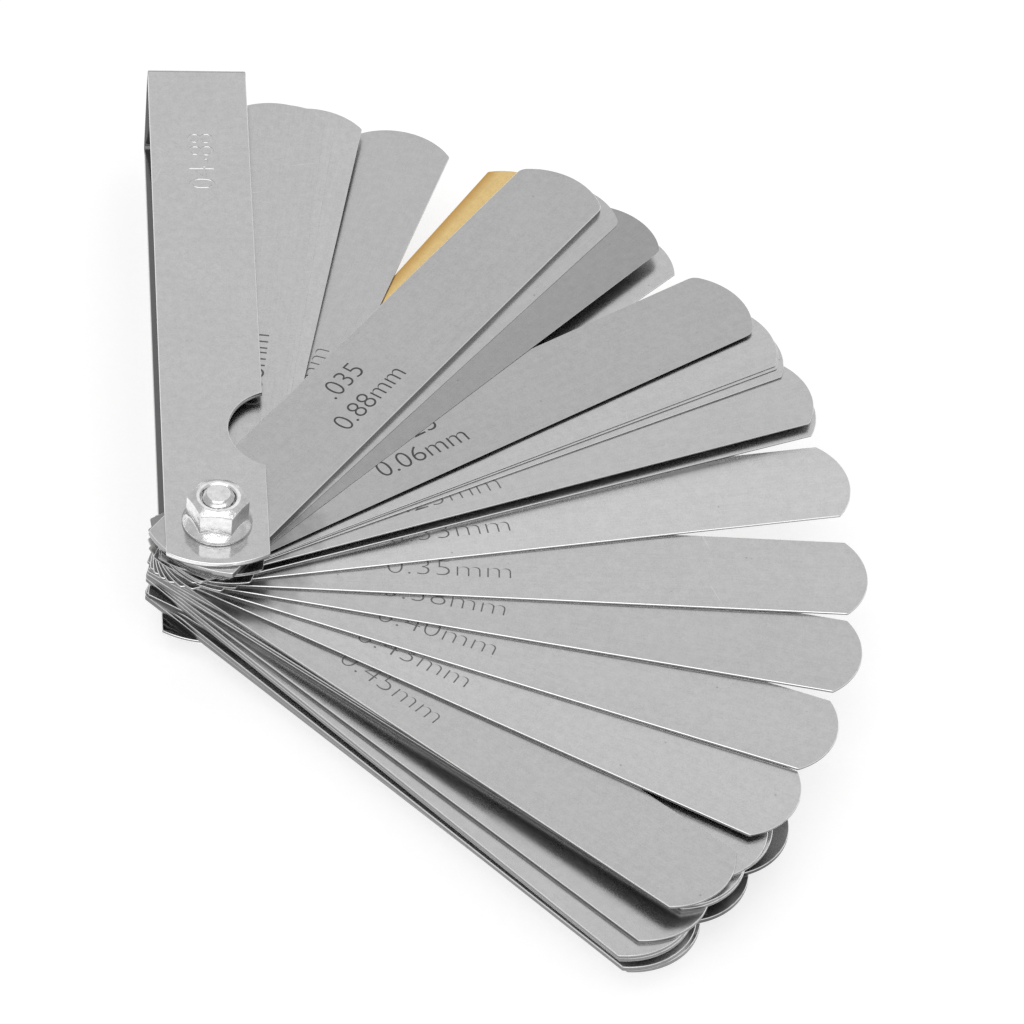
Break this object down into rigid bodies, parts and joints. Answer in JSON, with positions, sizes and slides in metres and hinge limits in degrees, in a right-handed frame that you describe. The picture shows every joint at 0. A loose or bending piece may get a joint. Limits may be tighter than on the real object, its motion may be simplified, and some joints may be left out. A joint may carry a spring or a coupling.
{
  "type": "feeler gauge",
  "caption": "Thickness gauge: flat metal blades fan out on a bolt between the two leaves of a folded steel case.",
  "frame": {"origin": "on the pivot bolt's axis, at the flat outer face of its hexagon head", "axes": "+Z along the bolt from its head to the nut, +Y along the case to its closed end, +X to the side where the blades fan out"},
  "size_m": [0.0899, 0.15, 0.0222],
  "materials": {
    "case_steel": "satin, lightly scratched",
    "blade_steel": "ground spring steel with fine pits and scratches, faint oil sheen",
    "brass_blade": "rolled shim stock, satin",
    "zinc_nut": "bright zinc plate",
    "zinc_bolt": "bright zinc plate"
  },
  "bodies": {
    "case": {"case_strip": "case_steel", "pivot_bolt": "zinc_bolt", "flange_nut": "zinc_nut"},
    "blade_0p88mm": {"blade_0p88mm": "blade_steel"},
    "blade_0p04mm": {"blade_0p04mm": "blade_steel"},
    "blade_0p05mm": {"blade_0p05mm": "blade_steel"},
    "blade_0p06mm": {"blade_0p06mm": "blade_steel"},
    "blade_0p08mm": {"blade_0p08mm": "blade_steel"},
    "blade_0p10mm": {"blade_0p10mm": "blade_steel"},
    "blade_0p13mm": {"blade_0p13mm": "blade_steel"},
    "blade_0p15mm": {"blade_0p15mm": "blade_steel"},
    "blade_0p18mm": {"blade_0p18mm": "blade_steel"},
    "blade_0p20mm": {"blade_0p20mm": "blade_steel"},
    "blade_0p23mm": {"blade_0p23mm": "blade_steel"},
    "blade_0p25mm": {"blade_0p25mm": "blade_steel"},
    "blade_0p25mm_brass": {"blade_0p25mm_brass": "brass_blade"},
    "blade_0p28mm": {"blade_0p28mm": "blade_steel"},
    "blade_0p30mm": {"blade_0p30mm": "blade_steel"},
    "blade_0p33mm": {"blade_0p33mm": "blade_steel"},
    "blade_0p35mm": {"blade_0p35mm": "blade_steel"},
    "blade_0p38mm": {"blade_0p38mm": "blade_steel"},
    "blade_0p40mm": {"blade_0p40mm": "blade_steel"},
    "blade_0p43mm": {"blade_0p43mm": "blade_steel"},
    "blade_0p45mm": {"blade_0p45mm": "blade_steel"},
    "blade_0p48mm": {"blade_0p48mm": "blade_steel"},
    "blade_0p50mm": {"blade_0p50mm": "blade_steel"},
    "blade_0p53mm": {"blade_0p53mm": "blade_steel"},
    "blade_0p55mm": {"blade_0p55mm": "blade_steel"},
    "blade_0p58mm": {"blade_0p58mm": "blade_steel"},
    "blade_0p60mm": {"blade_0p60mm": "blade_steel"},
    "blade_0p63mm": {"blade_0p63mm": "blade_steel"},
    "blade_0p65mm": {"blade_0p65mm": "blade_steel"},
    "blade_0p70mm": {"blade_0p70mm": "blade_steel"},
    "blade_0p75mm": {"blade_0p75mm": "blade_steel"},
    "blade_0p80mm": {"blade_0p80mm": "blade_steel"}
  },
  "joints": [
    {"name": "turn_0p88mm", "type": "hinge", "parent": "case", "child": "blade_0p88mm", "pos_m": [0, 0, 0.01604], "axis": [0, 0, -1], "range_deg": [-36.5, 143.5]},
    {"name": "turn_0p04mm", "type": "hinge", "parent": "case", "child": "blade_0p04mm", "pos_m": [0, 0, 0.01556], "axis": [0, 0, -1], "range_deg": [-38.6, 141.4]},
    {"name": "turn_0p05mm", "type": "hinge", "parent": "case", "child": "blade_0p05mm", "pos_m": [0, 0, 0.0155], "axis": [0, 0, -1], "range_deg": [-43.8, 136.2]},
    {"name": "turn_0p06mm", "type": "hinge", "parent": "case", "child": "blade_0p06mm", "pos_m": [0, 0, 0.01542], "axis": [0, 0, -1], "range_deg": [-57.5, 122.5]},
    {"name": "turn_0p08mm", "type": "hinge", "parent": "case", "child": "blade_0p08mm", "pos_m": [0, 0, 0.01533], "axis": [0, 0, -1], "range_deg": [-7.6, 172.4]},
    {"name": "turn_0p10mm", "type": "hinge", "parent": "case", "child": "blade_0p10mm", "pos_m": [0, 0, 0.01522], "axis": [0, 0, -1], "range_deg": [-8.6, 171.4]},
    {"name": "turn_0p13mm", "type": "hinge", "parent": "case", "child": "blade_0p13mm", "pos_m": [0, 0, 0.01508], "axis": [0, 0, -1], "range_deg": [-11.2, 168.8]},
    {"name": "turn_0p15mm", "type": "hinge", "parent": "case", "child": "blade_0p15mm", "pos_m": [0, 0, 0.01493], "axis": [0, 0, -1], "range_deg": [-61.9, 118.1]},
    {"name": "turn_0p18mm", "type": "hinge", "parent": "case", "child": "blade_0p18mm", "pos_m": [0, 0, 0.01474], "axis": [0, 0, -1], "range_deg": [-62.2, 117.8]},
    {"name": "turn_0p20mm", "type": "hinge", "parent": "case", "child": "blade_0p20mm", "pos_m": [0, 0, 0.01453], "axis": [0, 0, -1], "range_deg": [-63.2, 116.8]},
    {"name": "turn_0p23mm", "type": "hinge", "parent": "case", "child": "blade_0p23mm", "pos_m": [0, 0, 0.0143], "axis": [0, 0, -1], "range_deg": [-69.6, 110.4]},
    {"name": "turn_0p25mm", "type": "hinge", "parent": "case", "child": "blade_0p25mm", "pos_m": [0, 0, 0.01404], "axis": [0, 0, -1], "range_deg": [-20, 160]},
    {"name": "turn_0p25mm_brass", "type": "hinge", "parent": "case", "child": "blade_0p25mm_brass", "pos_m": [0, 0, 0.01376], "axis": [0, 0, -1], "range_deg": [-33.2, 146.8]},
    {"name": "turn_0p28mm", "type": "hinge", "parent": "case", "child": "blade_0p28mm", "pos_m": [0, 0, 0.01348], "axis": [0, 0, -1], "range_deg": [-46, 134]},
    {"name": "turn_0p30mm", "type": "hinge", "parent": "case", "child": "blade_0p30mm", "pos_m": [0, 0, 0.01317], "axis": [0, 0, -1], "range_deg": [-70.4, 109.6]},
    {"name": "turn_0p33mm", "type": "hinge", "parent": "case", "child": "blade_0p33mm", "pos_m": [0, 0, 0.01283], "axis": [0, 0, -1], "range_deg": [-80.9, 99.1]},
    {"name": "turn_0p35mm", "type": "hinge", "parent": "case", "child": "blade_0p35mm", "pos_m": [0, 0, 0.01247], "axis": [0, 0, -1], "range_deg": [-93.3, 86.7]},
    {"name": "turn_0p38mm", "type": "hinge", "parent": "case", "child": "blade_0p38mm", "pos_m": [0, 0, 0.01209], "axis": [0, 0, -1], "range_deg": [-103.1, 76.9]},
    {"name": "turn_0p40mm", "type": "hinge", "parent": "case", "child": "blade_0p40mm", "pos_m": [0, 0, 0.01168], "axis": [0, 0, -1], "range_deg": [-113.2, 66.8]},
    {"name": "turn_0p43mm", "type": "hinge", "parent": "case", "child": "blade_0p43mm", "pos_m": [0, 0, 0.01124], "axis": [0, 0, -1], "range_deg": [-122.4, 57.6]},
    {"name": "turn_0p45mm", "type": "hinge", "parent": "case", "child": "blade_0p45mm", "pos_m": [0, 0, 0.01078], "axis": [0, 0, -1], "range_deg": [-133.7, 46.3]},
    {"name": "turn_0p48mm", "type": "hinge", "parent": "case", "child": "blade_0p48mm", "pos_m": [0, 0, 0.0103], "axis": [0, 0, -1], "range_deg": [-128.6, 51.4]},
    {"name": "turn_0p50mm", "type": "hinge", "parent": "case", "child": "blade_0p50mm", "pos_m": [0, 0, 0.00979], "axis": [0, 0, -1], "range_deg": [-127.7, 52.3]},
    {"name": "turn_0p53mm", "type": "hinge", "parent": "case", "child": "blade_0p53mm", "pos_m": [0, 0, 0.00925], "axis": [0, 0, -1], "range_deg": [-132.1, 47.9]},
    {"name": "turn_0p55mm", "type": "hinge", "parent": "case", "child": "blade_0p55mm", "pos_m": [0, 0, 0.00869], "axis": [0, 0, -1], "range_deg": [-132, 48]},
    {"name": "turn_0p58mm", "type": "hinge", "parent": "case", "child": "blade_0p58mm", "pos_m": [0, 0, 0.00811], "axis": [0, 0, -1], "range_deg": [-137.2, 42.8]},
    {"name": "turn_0p60mm", "type": "hinge", "parent": "case", "child": "blade_0p60mm", "pos_m": [0, 0, 0.0075], "axis": [0, 0, -1], "range_deg": [-139.5, 40.5]},
    {"name": "turn_0p63mm", "type": "hinge", "parent": "case", "child": "blade_0p63mm", "pos_m": [0, 0, 0.00686], "axis": [0, 0, -1], "range_deg": [-139.3, 40.7]},
    {"name": "turn_0p65mm", "type": "hinge", "parent": "case", "child": "blade_0p65mm", "pos_m": [0, 0, 0.0062], "axis": [0, 0, -1], "range_deg": [-124.2, 55.8]},
    {"name": "turn_0p70mm", "type": "hinge", "parent": "case", "child": "blade_0p70mm", "pos_m": [0, 0, 0.00551], "axis": [0, 0, -1], "range_deg": [-131.2, 48.8]},
    {"name": "turn_0p75mm", "type": "hinge", "parent": "case", "child": "blade_0p75mm", "pos_m": [0, 0, 0.00477], "axis": [0, 0, -1], "range_deg": [-138.8, 41.2]},
    {"name": "turn_0p80mm", "type": "hinge", "parent": "case", "child": "blade_0p80mm", "pos_m": [0, 0, 0.00397], "axis": [0, 0, -1], "range_deg": [-138.2, 41.8]}
  ]
}
